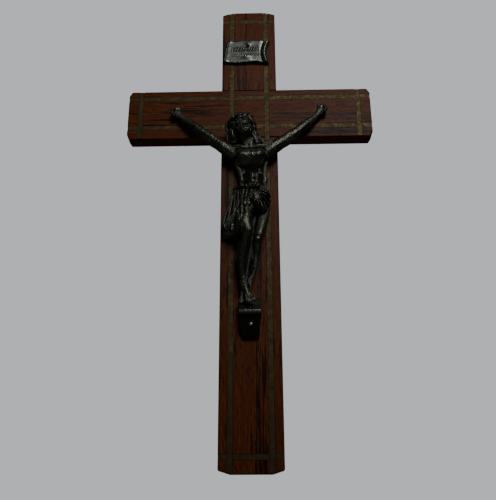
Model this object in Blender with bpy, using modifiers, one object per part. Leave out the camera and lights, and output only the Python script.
"""Wooden wall crucifix with inlaid metal strips, a cast scroll and a cast figure.

Frame: +Z up along the upright, +Y towards the wall, +X to the right of someone looking at it.
The origin lies on the flat back, at the centre of the crossing.
"""
import math

import bmesh
import bpy
from mathutils import Euler, Matrix, Vector
from mathutils.bvhtree import BVHTree

# Beams, in metres
UPRIGHT_LENGTH = 0.250
HEAD_LENGTH = 0.0675
ARM_SPAN = 0.1305
BEAM_WIDTH = 0.0295
BEAM_THICKNESS = 0.0085
CORNER_ACROSS = 0.0052
ARM_CORNER_ACROSS = 0.0026
CORNER_ALONG = 0.0016
EDGE_ROUNDING = 0.0005
JOINT_GAP = 0.0002

# Inlaid strips: their centre lines, from the edge or the end that they lie near
STRIP_WIDTH = 0.0024
STRIP_DEPTH = 0.0010
STRIP_GAP = 0.00015
STRIP_END_INSET = 0.0004
UPRIGHT_STRIP_FROM_EDGE = 0.00535
UPPER_STRIP_FROM_EDGE = 0.00485
LOWER_STRIP_FROM_EDGE = 0.00675
ARM_STRIP_FROM_END = 0.0068
TOP_STRIP_FROM_END = 0.0065
FOOT_STRIP_FROM_END = 0.0072

# Scroll: its places are measured down from the upright's top end
SCROLL_CENTRE_FROM_TOP = 0.0283
SCROLL_NAIL_FROM_TOP = 0.0241
SCROLL_NAIL_OFFSET = -0.0002
SCROLL_NAIL_HEIGHT = 0.0028
SCROLL_WIDTH = 0.0255
SCROLL_HEIGHT = 0.0142
SCROLL_CENTRE_OFFSET = -0.0012
SCROLL_THICKNESS = 0.0007
SCROLL_BELLY = 0.0009
SCROLL_SLANT = 0.0016
SCROLL_WAIST = 0.0011

# Nails
NAIL_LENGTH = 0.0075
NAIL_RADIUS = 0.0004
NAIL_HEAD_RADIUS = 0.0010
NAIL_HEAD_RISE = 0.0006
NAIL_GAP = 0.00025

# Figure: its forms are given in hundredths of its height
FIGURE_HEIGHT = 0.100
REST_GAP = 0.0003
STEPS_PER_HEIGHT = 200
FIGURE_TRIANGLES = 5700

FRONT = -BEAM_THICKNESS
TOP_END = HEAD_LENGTH
FOOT_END = HEAD_LENGTH - UPRIGHT_LENGTH
ARM_END = ARM_SPAN / 2
HALF_WIDTH = BEAM_WIDTH / 2
STRIP_FLOOR = STRIP_DEPTH + STRIP_GAP


def start_empty():
    for old in list(bpy.data.objects):
        bpy.data.objects.remove(old, do_unlink=True)
    parts = bpy.data.collections.new("wooden_crucifix")
    cutters = bpy.data.collections.new("cutters")
    for collection in (parts, cutters):
        bpy.context.scene.collection.children.link(collection)
    return parts, cutters


PARTS, CUTTERS = start_empty()


def material(name, colour, roughness, metallic):
    made = bpy.data.materials.new(name)
    made.use_nodes = True
    shader = made.node_tree.nodes["Principled BSDF"]
    shader.inputs["Base Color"].default_value = (*colour, 1.0)
    shader.inputs["Roughness"].default_value = roughness
    shader.inputs["Metallic"].default_value = metallic
    made.diffuse_color = (*colour, 1.0)
    return made


ROSEWOOD = material("rosewood", (0.085, 0.030, 0.014), 0.45, 0.0)
STRIP_METAL = material("tarnished_strip_metal", (0.105, 0.085, 0.055), 0.45, 1.0)
SCROLL_METAL = material("grey_scroll_metal", (0.230, 0.240, 0.220), 0.40, 1.0)
FIGURE_METAL = material("dark_figure_metal", (0.075, 0.075, 0.060), 0.38, 1.0)
NAIL_METAL = material("nail_metal", (0.160, 0.160, 0.140), 0.35, 1.0)


def add_object(name, mesh, collection, finish=None):
    made = bpy.data.objects.new(name, mesh)
    collection.objects.link(made)
    if finish is not None:
        mesh.materials.clear()
        mesh.materials.append(finish)
    if collection is CUTTERS:
        made.hide_render = True
        made.display_type = "WIRE"
    return made


def mesh_of(made, merge=0.00001):
    """The object's evaluated mesh, welded, with the object itself removed."""
    bpy.context.view_layer.update()
    mesh = bpy.data.meshes.new_from_object(made.evaluated_get(bpy.context.evaluated_depsgraph_get()))
    mesh.transform(made.matrix_world)
    bpy.data.objects.remove(made, do_unlink=True)
    work = bmesh.new()
    work.from_mesh(mesh)
    bmesh.ops.remove_doubles(work, verts=work.verts, dist=merge)
    bmesh.ops.recalc_face_normals(work, faces=work.faces)
    work.to_mesh(mesh)
    work.free()
    return mesh


def box(name, low, high, collection, finish=None):
    work = bmesh.new()
    bmesh.ops.create_cube(work, size=1.0)
    low = Vector(low)
    high = Vector(high)
    for vertex in work.verts:
        vertex.co = [low[i] + (vertex.co[i] + 0.5) * (high[i] - low[i]) for i in range(3)]
    mesh = bpy.data.meshes.new(name)
    work.to_mesh(mesh)
    work.free()
    return add_object(name, mesh, collection, finish)


def boolean(target, cutter, operation="DIFFERENCE"):
    modifier = target.modifiers.new(cutter.name, "BOOLEAN")
    modifier.operation = operation
    modifier.object = cutter
    modifier.solver = "EXACT"


# Beams


def beam_outline(low, high, half_width, upright):
    """Corners of a beam's front, with its four corners cut off; x and z swap for the crossbeam."""
    across = half_width - (CORNER_ACROSS if upright else ARM_CORNER_ACROSS)
    corners = []
    for end, inwards in ((low, CORNER_ALONG), (high, -CORNER_ALONG)):
        turn = 1 if inwards > 0 else -1
        corners += [(-half_width * turn, end + inwards), (-across * turn, end)]
        corners += [(across * turn, end), (half_width * turn, end + inwards)]
    return corners if upright else [(z, x) for x, z in reversed(corners)]


def slab(name, corners, thickness, middle_y, collection, finish=None):
    """A flat outline in the XZ plane, given a thickness along Y."""
    curve = bpy.data.curves.new(name, "CURVE")
    curve.dimensions = "2D"
    curve.fill_mode = "BOTH"
    curve.extrude = thickness / 2
    spline = curve.splines.new("POLY")
    spline.points.add(len(corners) - 1)
    for point, (x, z) in zip(spline.points, corners):
        point.co = (x, z, 0.0, 1.0)
    spline.use_cyclic_u = True
    drawn = bpy.data.objects.new(name + "_outline", curve)
    drawn.rotation_euler = (math.pi / 2, 0.0, 0.0)
    drawn.location = (0.0, middle_y, 0.0)
    PARTS.objects.link(drawn)
    mesh = mesh_of(drawn)
    work = bmesh.new()
    work.from_mesh(mesh)
    bmesh.ops.dissolve_limit(work, angle_limit=math.radians(1), verts=work.verts, edges=work.edges)
    work.to_mesh(mesh)
    work.free()
    mesh.name = name
    return add_object(name, mesh, collection, finish)


def beam(name, low, high, upright):
    made = slab(name, beam_outline(low, high, HALF_WIDTH, upright), BEAM_THICKNESS, FRONT / 2,
                PARTS, ROSEWOOD)
    rounding = made.modifiers.new("worn_edges", "BEVEL")
    rounding.width = EDGE_ROUNDING
    rounding.segments = 2
    rounding.limit_method = "ANGLE"
    rounding.angle_limit = math.radians(20)
    return made


def halving_cutter(name, upright, front_half):
    """The block of wood that a halving joint takes out of one beam at the crossing."""
    reach = HALF_WIDTH + JOINT_GAP
    past = BEAM_WIDTH
    middle = FRONT / 2
    depth = (2 * FRONT, middle + JOINT_GAP / 2) if front_half else (middle - JOINT_GAP / 2, -FRONT)
    side = (past, reach) if upright else (reach, past)
    return box(name, (-side[0], depth[0], -side[1]), (side[0], depth[1], side[1]), CUTTERS)


UPRIGHT = beam("upright", FOOT_END, TOP_END, True)
CROSSBEAM = beam("crossbeam", -ARM_END, ARM_END, False)
boolean(UPRIGHT, halving_cutter("upright_halving", True, True))
boolean(CROSSBEAM, halving_cutter("crossbeam_halving", False, False))


# Inlaid strips


def strip_trimmer(name, low, high, upright):
    """The beam's outline a little inside its edge, which the strips' ends are filed down to."""
    corners = beam_outline(low + STRIP_END_INSET, high - STRIP_END_INSET,
                           HALF_WIDTH - STRIP_END_INSET, upright)
    return slab(name, corners, 3 * BEAM_THICKNESS, FRONT, CUTTERS)


UPRIGHT_TRIMMER = strip_trimmer("upright_trimmer", FOOT_END, TOP_END, True)
CROSSBEAM_TRIMMER = strip_trimmer("crossbeam_trimmer", -ARM_END, ARM_END, False)


def groove(name, centre, low, high, along_z, beams):
    """One saw cut for a strip, open to the front, taken out of every beam that it runs over."""
    side = STRIP_WIDTH / 2 + STRIP_GAP
    floor = FRONT + STRIP_FLOOR
    if along_z:
        cutter = box(name, (centre - side, 2 * FRONT, low), (centre + side, floor, high), CUTTERS)
    else:
        cutter = box(name, (low, 2 * FRONT, centre - side), (high, floor, centre + side), CUTTERS)
    for wood in beams:
        boolean(wood, cutter)


def strip(name, centre, low, high, along_z, trimmer):
    side = STRIP_WIDTH / 2
    floor = FRONT + STRIP_DEPTH
    if along_z:
        made = box(name, (centre - side, FRONT, low), (centre + side, floor, high), PARTS, STRIP_METAL)
    else:
        made = box(name, (low, FRONT, centre - side), (high, floor, centre + side), PARTS, STRIP_METAL)
    boolean(made, trimmer, "INTERSECT")
    return made


def runs_between(start, end, crossings):
    """Stretches of a cut strip, left where the strips that run across it leave off."""
    clear = STRIP_WIDTH / 2 + STRIP_GAP
    edges = [start]
    for centre in crossings:
        edges += [centre - clear, centre + clear]
    edges.append(end)
    return list(zip(edges[0::2], edges[1::2]))


def inlay_strips():
    past = CORNER_ACROSS
    arm_strips = [ARM_STRIP_FROM_END - ARM_END, ARM_END - ARM_STRIP_FROM_END]
    long_strips = [UPRIGHT_STRIP_FROM_EDGE - HALF_WIDTH, HALF_WIDTH - UPRIGHT_STRIP_FROM_EDGE]
    for side, centre in zip(("left", "right"), long_strips):
        groove("groove_upright_" + side, centre, FOOT_END - past, TOP_END + past, True,
               (UPRIGHT, CROSSBEAM))
        strip("inlay_upright_" + side, centre, FOOT_END, TOP_END, True, UPRIGHT_TRIMMER)
    for side, centre in zip(("left", "right"), arm_strips):
        groove("groove_arm_" + side, centre, -BEAM_WIDTH, BEAM_WIDTH, True, (CROSSBEAM,))
        strip("inlay_arm_" + side, centre, -HALF_WIDTH, HALF_WIDTH, True, CROSSBEAM_TRIMMER)
    ends = (("top", TOP_END - TOP_STRIP_FROM_END), ("foot", FOOT_END + FOOT_STRIP_FROM_END))
    for end, height in ends:
        groove("groove_" + end, height, -BEAM_WIDTH, BEAM_WIDTH, False, (UPRIGHT,))
        for number, (low, high) in enumerate(runs_between(-HALF_WIDTH, HALF_WIDTH, long_strips), 1):
            strip("inlay_%s_%d" % (end, number), height, low, high, False, UPRIGHT_TRIMMER)
    crossings = [arm_strips[0], *long_strips, arm_strips[1]]
    levels = (("upper", HALF_WIDTH - UPPER_STRIP_FROM_EDGE),
              ("lower", LOWER_STRIP_FROM_EDGE - HALF_WIDTH))
    for level, height in levels:
        groove("groove_" + level, height, -ARM_END - past, ARM_END + past, False, (CROSSBEAM,))
        for number, (low, high) in enumerate(runs_between(-ARM_END, ARM_END, crossings), 1):
            strip("inlay_%s_%d" % (level, number), height, low, high, False, CROSSBEAM_TRIMMER)


inlay_strips()


# Nails


def turned_nail(name, x, z, head_height, targets):
    """A domed nail driven straight in, with the hole that it makes in every target."""
    work = bmesh.new()
    facing = Matrix.Rotation(math.pi / 2, 4, "X")
    bmesh.ops.create_cone(work, cap_ends=True, segments=12, radius1=NAIL_RADIUS, radius2=NAIL_RADIUS,
                          depth=NAIL_LENGTH, matrix=Matrix.Translation((0, 0, -NAIL_LENGTH / 2)))
    shank = bpy.data.meshes.new(name + "_shank")
    work.to_mesh(shank)
    work.free()
    work = bmesh.new()
    bmesh.ops.create_uvsphere(work, u_segments=16, v_segments=10, radius=NAIL_HEAD_RADIUS)
    for vertex in work.verts:
        rise = NAIL_HEAD_RISE if vertex.co.z > 0 else NAIL_HEAD_RISE / 3
        vertex.co.z *= rise / NAIL_HEAD_RADIUS
    head = bpy.data.meshes.new(name)
    work.to_mesh(head)
    work.free()
    place = Matrix.Translation((x, FRONT - head_height, z)) @ facing
    made = add_object(name, head, PARTS, NAIL_METAL)
    made.matrix_world = place
    stem = add_object(name + "_stem", shank, CUTTERS)
    stem.matrix_world = place
    boolean(made, stem, "UNION")
    made.data.shade_smooth()
    hole_radius = NAIL_RADIUS + NAIL_GAP
    work = bmesh.new()
    bmesh.ops.create_cone(work, cap_ends=True, segments=12, radius1=hole_radius, radius2=hole_radius,
                          depth=2 * NAIL_LENGTH + 2 * NAIL_GAP)
    hole_mesh = bpy.data.meshes.new(name + "_hole")
    work.to_mesh(hole_mesh)
    work.free()
    hole = add_object(name + "_hole", hole_mesh, CUTTERS)
    hole.matrix_world = place
    seat_mesh = head.copy()
    seat_mesh.transform(Matrix.Scale(1 + NAIL_GAP / NAIL_HEAD_RADIUS, 4))
    for vertex in seat_mesh.vertices:
        if vertex.co.z < 0:
            vertex.co.z -= NAIL_GAP
    seat = add_object(name + "_seat", seat_mesh, CUTTERS)
    seat.matrix_world = place
    for target in targets:
        boolean(target, hole)
        if target not in (UPRIGHT, CROSSBEAM):
            boolean(target, seat)
    return made


# Scroll: shares of its width from left to right, and how far its front stands out there


SCROLL_RUN = ((0.0, 0.0010), (0.06, 0.0027), (0.14, 0.0018), (0.50, 0.0020), (0.84, 0.0021),
              (0.90, 0.0011), (0.96, 0.0028), (1.0, 0.0013))


def scroll_rise(share):
    for (low, near), (high, far) in zip(SCROLL_RUN[:-1], SCROLL_RUN[1:]):
        if share <= high:
            return near + (far - near) * (share - low) / (high - low)
    return SCROLL_RUN[-1][1]


def scroll():
    """A small parchment cast in metal: slanting sides, a swelling middle and rolled ends."""
    work = bmesh.new()
    bmesh.ops.create_grid(work, x_segments=25, y_segments=6, size=1.0)
    for vertex in work.verts:
        across, up = vertex.co.x, vertex.co.y
        slant = SCROLL_SLANT * up * (1 - across) / 2
        waist = SCROLL_WAIST * max(0.0, across) * (1 - up * up)
        x = SCROLL_WIDTH / 2 * across + slant - waist
        z = SCROLL_HEIGHT / 2 * up * (1 + 0.03 * math.cos(math.pi * across))
        swell = SCROLL_BELLY * math.cos(across * math.pi / 2) ** 2 * max(0.0, -up)
        rise = scroll_rise((across + 1) / 2) + swell
        vertex.co = (SCROLL_CENTRE_OFFSET + x, FRONT - rise, TOP_END - SCROLL_CENTRE_FROM_TOP + z)
    mesh = bpy.data.meshes.new("title_scroll")
    work.to_mesh(mesh)
    work.free()
    made = add_object("title_scroll", mesh, PARTS, SCROLL_METAL)
    thick = made.modifiers.new("cast_thickness", "SOLIDIFY")
    thick.thickness = SCROLL_THICKNESS
    thick.offset = -1.0
    mesh.shade_smooth()
    return made


# Figure


UNIT = FIGURE_HEIGHT / 100
FIGURE_SPACE = Matrix(((UNIT, 0, 0, 0), (0, 0, -UNIT, FRONT), (0, UNIT, 0, 0), (0, 0, 0, 1)))
HEAD = (Matrix.Translation((-3.4, -13.3, 9.4)) @ Matrix.Rotation(math.radians(15), 4, "Z")
        @ Matrix.Rotation(math.radians(-20), 4, "X") @ Matrix.Rotation(math.radians(10), 4, "Y")
        @ Matrix.Scale(1.12, 4))


def egg(centre, radii, lean=0.0, tip=0.0):
    """An ellipsoid; lean turns it in the picture, tip turns its top out from the wood."""
    turn = Euler((math.radians(tip), 0.0, math.radians(lean))).to_matrix().to_4x4()
    return "egg", Matrix.Translation(centre) @ turn @ Matrix.Diagonal((*radii, 1.0))


def strand(*points):
    """A round limb, fold or lock through points of right, up, out and radius."""
    return "strand", [(Vector(point[:3]), point[3]) for point in points]


def moved(forms, carrier):
    """The same forms carried from a part's own frame into the figure's."""
    size = carrier.median_scale
    done = []
    for kind, form in forms:
        if kind == "egg":
            done.append((kind, carrier @ form))
        else:
            done.append((kind, [(carrier @ point, size * radius) for point, radius in form]))
    return done


def strands_mesh(forms):
    curve = bpy.data.curves.new("strands", "CURVE")
    curve.dimensions = "3D"
    curve.bevel_depth = 1.0
    curve.bevel_resolution = 3
    curve.use_fill_caps = True
    curve.resolution_u = 5
    for kind, form in forms:
        if kind != "strand":
            continue
        spline = curve.splines.new("BEZIER")
        spline.bezier_points.add(len(form) - 1)
        spline.radius_interpolation = "CARDINAL"
        for knot, (point, radius) in zip(spline.bezier_points, form):
            knot.co = point
            knot.radius = radius
            knot.handle_left_type = "AUTO"
            knot.handle_right_type = "AUTO"
    drawn = bpy.data.objects.new("strands", curve)
    PARTS.objects.link(drawn)
    return mesh_of(drawn)


def one_skin(forms, base, smoothing):
    """Joins the forms, and a base mesh if there is one, under one skin, in hundredths."""
    work = bmesh.new()
    for kind, form in forms:
        if kind == "egg":
            bmesh.ops.create_uvsphere(work, u_segments=24, v_segments=16, radius=1.0, matrix=form)
        if kind == "hull":
            corners = [work.verts.new(corner) for corner in form]
            bmesh.ops.convex_hull(work, input=corners)
    work.from_mesh(strands_mesh(forms))
    if base is not None:
        work.from_mesh(base)
    mesh = bpy.data.meshes.new("skin")
    work.to_mesh(mesh)
    work.free()
    made = add_object("skin", mesh, PARTS)
    remesh = made.modifiers.new("one_skin", "REMESH")
    remesh.mode = "VOXEL"
    remesh.voxel_size = 100 / STEPS_PER_HEIGHT
    soften = made.modifiers.new("soften", "SMOOTH")
    soften.factor = 0.5
    soften.iterations = smoothing
    return mesh_of(made)


def trunk():
    """Chest lifted by the raised arms, hollow belly, hips swung to one side."""
    return [
        egg((0.4, -30.2, 5.6), (8.3, 5.8, 4.8)),
        egg((0.6, -31.8, 6.6), (7.0, 4.4, 4.7)),
        egg((-3.6, -31.4, 8.4), (4.3, 3.4, 3.4), -12),
        egg((4.6, -31.2, 8.4), (4.3, 3.4, 3.4), 12),
        egg((1.2, -35.4, 3.8), (7.3, 6.6, 3.8)),
        egg((2.0, -44.0, 4.0), (7.2, 8.4, 3.3)),
        egg((2.0, -44.2, 5.2), (3.4, 6.2, 2.9)),
        egg((2.4, -51.0, 5.0), (7.2, 6.0, 4.0)),
        strand((-7.4, -28.6, 4.8, 2.3), (-4.9, -35.5, 4.4, 1.8), (-3.8, -43.0, 4.2, 1.6)),
        strand((7.8, -28.6, 4.8, 2.3), (7.4, -36.0, 4.4, 1.6), (7.9, -44.0, 4.2, 1.6)),
        strand((-10.2, -26.8, 6.0, 3.3), (0.0, -25.9, 6.4, 3.4), (10.4, -26.4, 6.0, 3.3)),
        strand((0.2, -26.0, 6.4, 3.0), (-1.0, -21.5, 7.6, 2.8), (-2.0, -17.0, 9.0, 3.0)),
    ]


def arm(side, shoulder, elbow, wrist, palm):
    """An arm raised and pulled taut: shoulder, biceps, elbow, forearm and wrist."""
    shoulder, elbow, wrist = Vector(shoulder), Vector(elbow), Vector(wrist)
    upper = elbow - shoulder
    fore = wrist - elbow
    lean = math.degrees(math.atan2(upper.y, upper.x))
    fore_lean = math.degrees(math.atan2(fore.y, fore.x))
    root = shoulder + Vector((-side * 5.0, -4.0, 0.0))
    points = [(*root, 3.2), (*shoulder, 3.5), (*(shoulder + upper * 0.5), 3.1), (*elbow, 2.8),
              (*(elbow + fore * 0.32), 2.7), (*(elbow + fore * 0.75), 2.2), (*wrist, 1.9), (*palm, 2.1)]
    return [
        strand(*points),
        egg(shoulder + upper * 0.12 + Vector((0, 0.4, 0.6)), (4.2, 3.0, 2.8), lean),
        egg(shoulder + upper * 0.55 + Vector((0, -0.4, 0.3)), (4.8, 3.0, 2.6), lean),
        egg(elbow + fore * 0.28 + Vector((0, -0.3, 0.2)), (4.6, 2.6, 2.2), fore_lean),
    ]


def legs():
    """The near leg bent in front of the other, both drawn together at the feet."""
    return [
        strand((-0.8, -51.0, 6.6, 4.4), (-1.8, -60.5, 9.4, 4.0), (-1.9, -68.0, 11.2, 3.8),
               (-0.9, -73.4, 12.0, 3.1)),
        egg((-1.8, -64.0, 10.9), (2.8, 8.0, 3.2), 2, 14),
        egg((-0.6, -73.2, 13.3), (2.5, 2.7, 1.9)),
        strand((-0.9, -73.6, 11.8, 3.0), (-2.2, -78.5, 10.4, 2.6), (-3.5, -83.8, 8.8, 2.7),
               (-3.6, -90.0, 7.4, 2.2), (-3.1, -95.8, 6.4, 1.7), (-2.4, -99.6, 5.8, 1.9),
               (-1.2, -103.0, 6.0, 1.8)),
        egg((-3.6, -82.2, 8.2), (2.6, 5.4, 2.4), 8, 18),
        strand((5.4, -51.0, 5.4, 4.4), (7.2, -60.0, 4.6, 3.0), (5.9, -68.0, 5.6, 2.5),
               (4.1, -75.4, 7.8, 2.2)),
        egg((3.9, -76.0, 9.0), (2.0, 2.3, 1.7)),
        strand((3.8, -76.0, 8.0, 2.2), (3.2, -80.5, 6.2, 2.1), (2.5, -84.5, 4.8, 2.1),
               (1.3, -91.0, 3.8, 1.8), (-0.3, -97.3, 3.0, 1.6), (-1.6, -101.0, 3.0, 1.7),
               (-3.0, -103.4, 3.4, 1.6)),
    ]


def cloth_mass():
    """The wrap round the hips, bunched out at one side where it hangs open below."""
    flare = [
        (-8.6, -46.8, 0.3), (-8.6, -46.8, 3.2), (-4.6, -47.4, 7.2), (-2.0, -49.6, 9.8),
        (-3.6, -58.0, 10.6), (-4.4, -72.4, 9.2), (-9.0, -71.2, 7.4), (-11.8, -69.8, 6.2),
        (-13.4, -67.6, 4.4), (-9.2, -52.0, 3.4), (-13.6, -68.0, 0.3), (-13.8, -73.4, 0.3),
        (-4.8, -74.4, 0.3),
    ]
    fan = [
        (-2.4, -49.2, 9.2), (3.0, -49.2, 10.4), (9.6, -48.8, 4.6), (0.4, -56.0, 12.2),
        (3.4, -59.4, 11.8), (6.6, -61.8, 9.8), (9.2, -59.4, 7.0), (10.3, -56.0, 5.0),
        (10.0, -49.0, 1.5), (10.0, -57.5, 1.5), (6.6, -61.8, 4.0), (0.4, -56.8, 6.0),
        (-2.4, -49.2, 4.0),
    ]
    tongue = [
        (-4.4, -49.2, 8.0), (1.4, -49.8, 10.6), (0.2, -60.2, 13.8), (-2.0, -60.9, 14.6),
        (-4.6, -60.2, 12.6), (-4.4, -49.2, 4.0), (0.2, -59.6, 8.0), (-4.8, -59.8, 6.0),
    ]
    return [("hull", flare), ("hull", fan), ("hull", tongue), egg((2.4, -53.2, 5.2), (7.8, 6.0, 5.0))]


def fold(skin, start, end, narrow, wide):
    """A rounded fold lying on the skin, narrow where it starts and wide where it ends."""
    points = []
    for step in range(6):
        share = step / 5
        spot = Vector(start).lerp(Vector(end), share)
        hit = skin.ray_cast(Vector((spot.x, spot.y, 40.0)), Vector((0, 0, -1)))[0]
        out = hit.z if hit is not None else points[-1][2] - 1.0
        points.append((spot.x, spot.y, out, narrow + (wide - narrow) * share))
    return strand(*points)


def cloth_folds(skin):
    """A rope round the waist with its knot, a fan of folds at one hip, long ones at the other."""
    forms = [
        strand((-8.6, -46.9, 3.2, 0.5), (-5.4, -47.0, 6.4, 0.6), (-2.0, -48.9, 9.6, 0.8),
               (2.0, -50.2, 10.6, 1.1), (6.8, -49.8, 8.4, 0.9), (9.8, -49.2, 4.4, 0.6)),
        egg((1.9, -49.9, 11.2), (3.2, 1.5, 1.2)),
    ]
    for end in ((10.0, -51.8), (10.0, -55.6), (9.1, -58.8), (7.0, -61.2), (4.2, -60.2), (1.6, -57.4)):
        forms.append(fold(skin, (3.4, -51.4), end, 0.6, 0.9))
    for top, end in (((-8.2, -48.0), (-12.8, -68.6)), ((-6.8, -48.8), (-10.4, -70.6)),
                     ((-5.4, -49.4), (-7.6, -71.8)), ((-4.2, -49.8), (-5.0, -72.6))):
        forms.append(fold(skin, top, end, 0.6, 1.3))
    for top, end in (((0.6, -51.0), (-0.6, -60.2)), ((-2.4, -50.6), (-3.6, -60.4))):
        forms.append(fold(skin, top, end, 0.7, 1.0))
    return forms


def head():
    """A plain head in its own frame: skull, jaw, nose and short beard, with the ring of thorns."""
    forms = [
        egg((0, 1.6, -0.8), (4.5, 4.8, 5.2)),
        egg((0, -1.5, 1.0), (3.7, 4.7, 3.6)),
        egg((0, -5.6, 2.2), (2.6, 2.4, 2.4)),
        strand((-2.8, 1.0, 3.2, 0.5), (0, 1.0, 4.4, 0.5), (2.8, 1.0, 3.2, 0.5)),
        strand((0, 0.7, 4.3, 0.5), (0, -1.9, 5.3, 0.7)),
    ]
    ring = []
    for step in range(25):
        angle = 2 * math.pi * step / 24
        ring.append((5.9 * math.sin(angle), 3.0 - 0.9 * math.cos(angle),
                     -1.2 + 6.0 * math.cos(angle), 1.05))
    forms.append(strand(*ring))
    for thorn in range(15):
        angle = 2 * math.pi * (thorn + 0.3) / 15
        out = Vector((math.sin(angle), 0.0, math.cos(angle)))
        start = Vector((0, 3.0 - 0.9 * math.cos(angle), -1.2)) + 5.8 * out
        end = start + 1.3 * out + Vector((0, 1.3 if thorn % 2 else 0.3, 0))
        forms.append(strand((*start, 0.7), (*end, 0.5)))
    return forms


def hair():
    """Heavy hair, parted in the middle, falling on both shoulders in wavy locks."""
    forms = [
        egg((-4.4, -11.4, 7.2), (6.6, 5.6, 5.4), 15),
        egg((-8.4, -15.8, 6.2), (3.3, 6.0, 4.4), 4),
        egg((2.3, -17.0, 5.6), (2.6, 5.4, 3.8), 24),
    ]
    for lock in range(4):
        share = lock / 3
        forms.append(strand(
            (-5.0 - 2.4 * share, -7.6 - 0.8 * share, 13.4 - 3.6 * share, 0.7),
            (-7.4 - 2.8 * share, -10.4, 13.0 - 3.8 * share, 1.0),
            (-8.2 - 3.0 * share, -15.0, 11.6 - 4.0 * share, 1.1),
            (-7.4 - 2.6 * share, -22.4 + share, 8.4 - 2.6 * share, 0.7)))
    for lock in range(4):
        share = lock / 3
        forms.append(strand(
            (-1.6 + 1.6 * share, -8.2 - share, 13.2 - 3.4 * share, 0.7),
            (1.2 + 1.6 * share, -11.0, 12.4 - 3.8 * share, 0.9),
            (2.6 + 1.8 * share, -15.6, 10.4 - 3.6 * share, 1.0),
            (6.0 + 3.0 * share, -22.2 + share, 8.8 - 2.4 * share, 0.6)))
    return forms


def hand(side, wrist, palm, first, last):
    """A cupped palm turned to the front, its fingers curled in over it."""
    forms = [egg(palm, (2.6, 2.9, 1.8)), strand((*wrist, 1.7), (*palm, 2.1))]
    palm = Vector(palm)
    for finger in range(4):
        angle = math.radians(first + (last - first) * finger / 3)
        out = Vector((math.cos(angle), math.sin(angle), 0.0))
        forms.append(strand((*(palm + 1.6 * out), 1.0), (*(palm + 2.3 * out + Vector((0, 0, 0.9))), 0.9),
                            (*(palm + 1.7 * out + Vector((0, 0, 1.8))), 0.7)))
    thumb = palm + Vector((-side * 1.4, 0.6, 0.4))
    forms.append(strand((*thumb, 1.0), (*(thumb + Vector((-side * 0.1, 1.2, 0.8))), 0.85),
                        (*(thumb + Vector((side * 0.6, 1.8, 1.1))), 0.6)))
    return forms


def foot(heel, ball, toes, spread):
    """A foot laid down the sloping block: heel, instep and five toes."""
    heel, ball, toes = Vector(heel), Vector(ball), Vector(toes)
    forms = [egg(heel, (1.7, 1.8, 1.7)), strand((*heel, 1.6), (*ball, 1.9)),
             strand((*(heel + Vector((0, 2.4, 1.0))), 1.2), (*ball, 1.6))]
    for toe in range(5):
        aside = Vector(((toe - 2) * spread, 0.4 * abs(toe - 1), -0.1 * abs(toe - 1)))
        forms.append(strand((*(ball + aside), 0.7), (*(toes + aside), 0.8 if toe == 1 else 0.65)))
    return forms


def foot_block():
    """The bracket under the feet: its top slopes out from the wood, its front is cut back."""
    top = [(side * 5.2, up, out) for side in (-1, 1)
           for out, up in ((0.2, -103.0), (7.0, -110.4), (7.0, -111.6), (5.4, -112.6), (0.2, -113.0))]
    under = [(side, up, out) for side, up, out in (
        (-5.0, -112.0, 0.2), (-5.0, -112.0, 5.6), (4.8, -112.0, 5.6), (4.8, -112.0, 0.2),
        (-5.2, -117.4, 3.9), (-5.2, -117.4, 0.2), (-3.2, -122.6, 2.2), (-3.2, -122.6, 0.2),
        (4.2, -122.6, 2.2), (4.2, -122.6, 0.2))]
    return [("hull", top), ("hull", under)]


def figure():
    left_wrist, left_palm = (-35.6, -4.3, 3.2), (-38.9, -0.9, 2.4)
    right_wrist, right_palm = (34.8, -5.0, 3.2), (38.4, -0.2, 2.4)
    body = trunk() + legs()
    body += arm(-1, (-11.8, -25.2, 6.0), (-25.0, -14.0, 5.0), left_wrist, left_palm)
    body += arm(1, (12.6, -24.6, 6.0), (25.2, -14.6, 5.0), right_wrist, right_palm)
    mesh = one_skin(body, None, 10)
    mesh = one_skin(cloth_mass(), mesh, 1)
    skin = BVHTree.FromPolygons([vertex.co for vertex in mesh.vertices],
                                [polygon.vertices for polygon in mesh.polygons])
    fine = cloth_folds(skin) + foot_block() + hair() + moved(head(), HEAD)
    fine += hand(-1, left_wrist, left_palm, 95, 245) + hand(1, right_wrist, right_palm, 80, -45)
    fine += foot((-2.4, -100.2, 5.2), (-0.4, -104.4, 6.4), (0.4, -107.4, 7.6), 1.0)
    fine += foot((-2.9, -100.6, 3.2), (-3.3, -104.4, 4.2), (-3.6, -107.0, 5.2), 0.8)
    mesh = one_skin(fine, mesh, 1)
    mesh.transform(FIGURE_SPACE)
    made = add_object("corpus", mesh, PARTS, FIGURE_METAL)
    lighter = made.modifiers.new("fewer_faces", "DECIMATE")
    lighter.ratio = min(1.0, FIGURE_TRIANGLES / (2 * len(mesh.polygons)))
    boolean(made, box("wood_clearance", (-ARM_END, FRONT - REST_GAP, FOOT_END),
                      (ARM_END, 0.0, TOP_END), CUTTERS))
    mesh.shade_smooth()
    return made


def figure_nail(name, point, targets):
    """A nail through the casting, its place given in hundredths of the figure's height."""
    spot = FIGURE_SPACE @ Vector(point)
    return turned_nail(name, spot.x, spot.z, FRONT - spot.y, targets)


SCROLL = scroll()
CORPUS = figure()
figure_nail("nail_hand_left", (-38.6, 0.7, 4.2), (CORPUS, CROSSBEAM))
figure_nail("nail_hand_right", (38.3, 0.8, 4.2), (CORPUS, CROSSBEAM))
figure_nail("nail_foot_block", (0.3, -116.8, 4.5), (CORPUS, UPRIGHT))
turned_nail("nail_scroll", SCROLL_NAIL_OFFSET, TOP_END - SCROLL_NAIL_FROM_TOP, SCROLL_NAIL_HEIGHT,
            (SCROLL, UPRIGHT))
